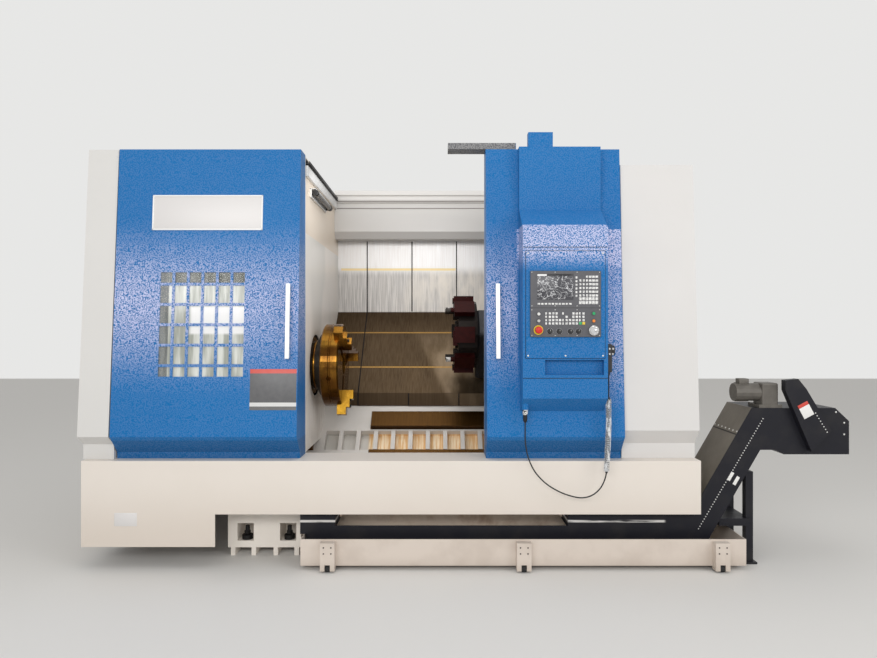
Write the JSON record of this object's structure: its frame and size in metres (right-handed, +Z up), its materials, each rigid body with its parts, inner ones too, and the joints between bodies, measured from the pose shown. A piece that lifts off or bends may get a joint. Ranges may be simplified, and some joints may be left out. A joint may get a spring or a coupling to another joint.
{
  "type": "cnc turning lathe",
  "caption": "Slant-bed CNC turning lathe with sliding doors, chuck, tool turret, tailstock, console and a chip conveyor in a rolling coolant tank.",
  "frame": {"origin": "on the floor under the middle of the whole machine's box", "axes": "+X to the right as the operator faces the machine and along the spindle from headstock to tailstock, +Y into the machine, +Z up"},
  "size_m": [4.64, 2.1, 2.618],
  "materials": {
    "blue_paint": "hammered gloss",
    "white_paint": "satin",
    "charcoal_paint": "satin",
    "cover_steel": "brushed",
    "oiled_iron": "oiled",
    "turned_steel": "turned",
    "cast_base": "painted casting",
    "window_glass": "clear",
    "panel_grey": "fine texture",
    "black_plastic": "fine texture",
    "red_plastic": "gloss",
    "grey_plastic": "gloss",
    "green_plastic": "gloss",
    "orange_plastic": "gloss",
    "black_rubber": "matte"
  },
  "bodies": {
    "machine": {"bed_casting": "cast_base", "base_cover": "white_paint", "left_cabinet": "white_paint", "right_cabinet": "white_paint", "rear_enclosure": "white_paint", "headstock": "oiled_iron", "main_motor": "charcoal_paint", "drive_belt": "black_rubber", "work_lamp": "white_paint", "way_cover_1": "cover_steel", "way_cover_6": "cover_steel", "conveyor_housing": "charcoal_paint", "conveyor_belt": "turned_steel", "conveyor_gearmotor": "charcoal_paint", "coolant_tank": "white_paint"},
    "spindle": {"spindle": "turned_steel", "chuck_body": "oiled_iron"},
    "jaw_1": {"chuck_jaw_1": "oiled_iron"},
    "jaw_2": {"chuck_jaw_2": "oiled_iron"},
    "jaw_3": {"chuck_jaw_3": "oiled_iron"},
    "motor_pulley": {"motor_pulley": "turned_steel"},
    "saddle": {"saddle": "cast_base", "way_cover_4": "cover_steel", "way_cover_5": "cover_steel"},
    "cross_slide": {"cross_slide": "charcoal_paint"},
    "turret": {"turret_disc": "turned_steel"},
    "cover_2": {"way_cover_2": "cover_steel"},
    "cover_3": {"way_cover_3": "cover_steel"},
    "z_screw": {"z_ball_screw": "turned_steel"},
    "tailstock": {"tailstock_body": "cast_base"},
    "quill": {"tailstock_quill": "turned_steel"},
    "centre": {"live_centre": "turned_steel"},
    "left_door": {"left_door": "blue_paint", "left_door_glass": "window_glass", "left_door_handle": "turned_steel"},
    "right_door": {"right_door": "blue_paint", "right_door_handle": "turned_steel", "console_housing": "blue_paint", "console_cover": "blue_paint", "operator_panel": "panel_grey", "hand_pendant": "black_plastic", "pendant_connector": "turned_steel", "pendant_lead": "black_rubber", "pendant_curly_cord": "black_rubber", "pendant_cord": "black_rubber"},
    "emergency_stop": {"emergency_stop": "red_plastic"},
    "power_on_button": {"power_on_button": "grey_plastic"},
    "power_off_button": {"power_off_button": "grey_plastic"},
    "cycle_start_button": {"cycle_start_button": "green_plastic"},
    "cycle_stop_button": {"cycle_stop_button": "orange_plastic"},
    "mode_knob": {"mode_knob": "black_plastic"},
    "feed_override_knob": {"feed_override_knob": "black_plastic"},
    "spindle_override_knob": {"spindle_override_knob": "black_plastic"},
    "rapid_override_knob": {"rapid_override_knob": "black_plastic"},
    "handwheel": {"handwheel": "turned_steel"},
    "tank_wheel_1": {"tank_wheel_1": "black_rubber"},
    "tank_wheel_2": {"tank_wheel_2": "black_rubber"},
    "tank_wheel_3": {"tank_wheel_3": "black_rubber"},
    "tank_rear_wheels": {"tank_rear_wheels": "black_rubber"}
  },
  "joints": [
    {"name": "left_door_slide", "type": "slide", "parent": "machine", "child": "left_door", "axis": [1, 0, 0], "range_m": [0, 0.5635]},
    {"name": "right_door_slide", "type": "slide", "parent": "machine", "child": "right_door", "axis": [-1, 0, 0], "range_m": [0, 0.5635]},
    {"name": "spindle_spin", "type": "hinge", "parent": "machine", "child": "spindle", "pos_m": [-0.9513, -0.239, 1.181], "axis": [1, 0, 0], "continuous": true},
    {"name": "motor_pulley_spin", "type": "hinge", "parent": "machine", "child": "motor_pulley", "pos_m": [-1.837, 0.331, 0.56], "axis": [1, 0, 0], "continuous": true},
    {"name": "jaw_1_slide", "type": "slide", "parent": "spindle", "child": "jaw_1", "axis": [0, -0.7071, 0.7071], "range_m": [-0.09, 0.01]},
    {"name": "jaw_2_slide", "type": "slide", "parent": "spindle", "child": "jaw_2", "axis": [0, 0.9659, 0.2588], "range_m": [-0.09, 0.01]},
    {"name": "jaw_3_slide", "type": "slide", "parent": "spindle", "child": "jaw_3", "axis": [0, -0.2588, -0.9659], "range_m": [-0.09, 0.01]},
    {"name": "saddle_slide", "type": "slide", "parent": "machine", "child": "saddle", "axis": [1, 0, 0], "range_m": [-0.54, 0]},
    {"name": "cover_2_slide", "type": "slide", "parent": "machine", "child": "cover_2", "axis": [1, 0, 0], "range_m": [-0.18, 0]},
    {"name": "cover_3_slide", "type": "slide", "parent": "machine", "child": "cover_3", "axis": [1, 0, 0], "range_m": [-0.36, 0]},
    {"name": "z_screw_spin", "type": "hinge", "parent": "machine", "child": "z_screw", "pos_m": [-1.017, 0.47871, 1.22696], "axis": [1, 0, 0], "range_deg": [-9800, 0]},
    {"name": "cross_slide_travel", "type": "slide", "parent": "saddle", "child": "cross_slide", "axis": [0, 0.7071, 0.7071], "range_m": [-0.03, 0.28]},
    {"name": "turret_index", "type": "hinge", "parent": "cross_slide", "child": "turret", "pos_m": [-0.035, -0.02899, 1.39101], "axis": [1, 0, 0], "continuous": true},
    {"name": "tailstock_slide", "type": "slide", "parent": "machine", "child": "tailstock", "axis": [1, 0, 0], "range_m": [-0.33, 0.1]},
    {"name": "quill_slide", "type": "slide", "parent": "tailstock", "child": "quill", "axis": [-1, 0, 0], "range_m": [0, 0.15]},
    {"name": "centre_spin", "type": "hinge", "parent": "quill", "child": "centre", "pos_m": [0.555, -0.239, 1.181], "axis": [1, 0, 0], "continuous": true},
    {"name": "emergency_stop_push", "type": "slide", "parent": "right_door", "child": "emergency_stop", "axis": [0, 1, 0], "range_m": [0, 0.004]},
    {"name": "power_on_button_push", "type": "slide", "parent": "right_door", "child": "power_on_button", "axis": [0, 1, 0], "range_m": [0, 0.004], "stiffness_N_per_m": 300},
    {"name": "power_off_button_push", "type": "slide", "parent": "right_door", "child": "power_off_button", "axis": [0, 1, 0], "range_m": [0, 0.004], "stiffness_N_per_m": 300},
    {"name": "cycle_start_button_push", "type": "slide", "parent": "right_door", "child": "cycle_start_button", "axis": [0, 1, 0], "range_m": [0, 0.004], "stiffness_N_per_m": 300},
    {"name": "cycle_stop_button_push", "type": "slide", "parent": "right_door", "child": "cycle_stop_button", "axis": [0, 1, 0], "range_m": [0, 0.004], "stiffness_N_per_m": 300},
    {"name": "mode_knob_turn", "type": "hinge", "parent": "right_door", "child": "mode_knob", "pos_m": [0.46446, -1.01, 1.4163], "axis": [0, -1, 0], "range_deg": [-135, 135]},
    {"name": "feed_override_knob_turn", "type": "hinge", "parent": "right_door", "child": "feed_override_knob", "pos_m": [0.51887, -1.01, 1.4163], "axis": [0, -1, 0], "range_deg": [-135, 135]},
    {"name": "spindle_override_knob_turn", "type": "hinge", "parent": "right_door", "child": "spindle_override_knob", "pos_m": [0.58261, -1.01, 1.4163], "axis": [0, -1, 0], "range_deg": [-135, 135]},
    {"name": "rapid_override_knob_turn", "type": "hinge", "parent": "right_door", "child": "rapid_override_knob", "pos_m": [0.62889, -1.01, 1.4163], "axis": [0, -1, 0], "range_deg": [-135, 135]},
    {"name": "handwheel_spin", "type": "hinge", "parent": "right_door", "child": "handwheel", "pos_m": [0.71496, -1.01, 1.42124], "axis": [0, -1, 0], "continuous": true},
    {"name": "tank_wheel_1_spin", "type": "hinge", "parent": "machine", "child": "tank_wheel_1", "pos_m": [-0.8265, -0.914, 0.022], "axis": [1, 0, 0], "continuous": true},
    {"name": "tank_wheel_2_spin", "type": "hinge", "parent": "machine", "child": "tank_wheel_2", "pos_m": [0.3265, -0.914, 0.022], "axis": [1, 0, 0], "continuous": true},
    {"name": "tank_wheel_3_spin", "type": "hinge", "parent": "machine", "child": "tank_wheel_3", "pos_m": [1.49, -0.914, 0.022], "axis": [1, 0, 0], "continuous": true},
    {"name": "tank_rear_wheels_spin", "type": "hinge", "parent": "machine", "child": "tank_rear_wheels", "pos_m": [-0.8265, -0.304, 0.022], "axis": [1, 0, 0], "continuous": true}
  ],
  "couplings": [
    {"joint": "motor_pulley_spin", "follows": "spindle_spin", "ratio": 1.7},
    {"joint": "jaw_2_slide", "follows": "jaw_1_slide", "ratio": 1},
    {"joint": "jaw_3_slide", "follows": "jaw_1_slide", "ratio": 1},
    {"joint": "cover_2_slide", "follows": "saddle_slide", "ratio": 0.33333},
    {"joint": "cover_3_slide", "follows": "saddle_slide", "ratio": 0.66667},
    {"joint": "z_screw_spin", "follows": "saddle_slide", "rad_per_m": 314.16}
  ]
}
